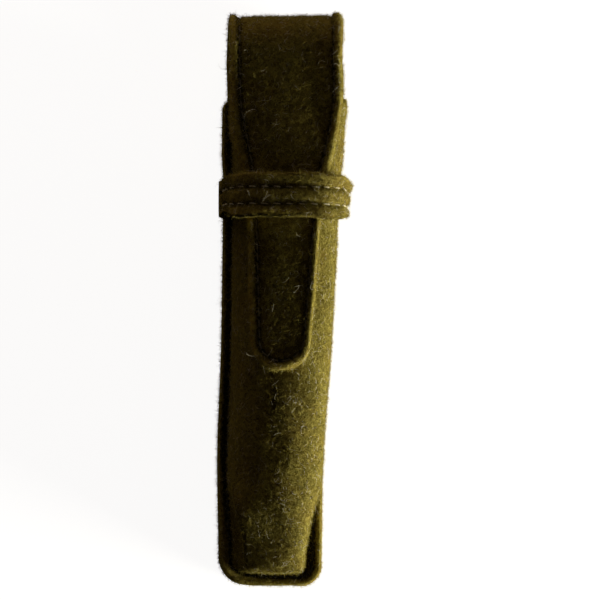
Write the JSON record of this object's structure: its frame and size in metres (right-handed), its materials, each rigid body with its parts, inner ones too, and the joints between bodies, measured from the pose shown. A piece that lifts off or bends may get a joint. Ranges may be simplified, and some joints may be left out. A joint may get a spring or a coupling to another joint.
{
  "type": "pen sleeve",
  "caption": "Felt sleeve for one pen, with a moulded pocket and a folded flap whose round tongue tucks under a sewn keeper band.",
  "frame": {"origin": "under the middle of the closed sleeve, on the outer face of the back panel", "axes": "+X across the sleeve, +Y along it towards the fold, +Z from the back towards the front"},
  "size_m": [0.0366, 0.165, 0.0246],
  "materials": {
    "felt_outer": "napped wool felt",
    "felt_lining": "plain wool felt",
    "thread": "twisted sewing thread"
  },
  "bodies": {
    "pocket": {"back_panel": "felt_outer", "back_lining": "felt_lining", "front_panel": "felt_outer", "front_lining": "felt_lining", "keeper_band": "felt_outer", "keeper_lining": "felt_lining", "keeper_stitches_upper": "thread", "keeper_stitches_lower": "thread", "side_seam_left": "thread", "side_seam_right": "thread", "bottom_seam": "thread", "riser_stitches": "thread"},
    "fold_lower": {"fold_lower_outer": "felt_outer", "fold_lower_lining": "felt_lining", "fold_lower_stitches": "thread"},
    "fold_upper": {"fold_upper_outer": "felt_outer", "fold_upper_lining": "felt_lining", "fold_upper_stitches": "thread"},
    "flap": {"flap_outer": "felt_outer", "flap_lining": "felt_lining", "flap_stitches": "thread", "tongue_outer": "felt_outer", "tongue_lining": "felt_lining", "tongue_stitches": "thread"}
  },
  "joints": [
    {"name": "fold_lower_hinge", "type": "hinge", "parent": "pocket", "child": "fold_lower", "pos_m": [0, 0.07748, 0.00135], "axis": [-1, 0, 0], "range_deg": [0, 60], "deforming": ["tongue_outer", "tongue_lining", "tongue_stitches"]},
    {"name": "fold_crown_hinge", "type": "hinge", "parent": "fold_lower", "child": "fold_upper", "pos_m": [0, 0.0825, 0.01005], "axis": [-1, 0, 0], "range_deg": [0, 60]},
    {"name": "fold_upper_hinge", "type": "hinge", "parent": "fold_upper", "child": "flap", "pos_m": [0, 0.07748, 0.01875], "axis": [-1, 0, 0], "range_deg": [0, 60]}
  ],
  "couplings": [
    {"joint": "fold_crown_hinge", "follows": "fold_lower_hinge", "ratio": 1},
    {"joint": "fold_upper_hinge", "follows": "fold_lower_hinge", "ratio": 1}
  ]
}
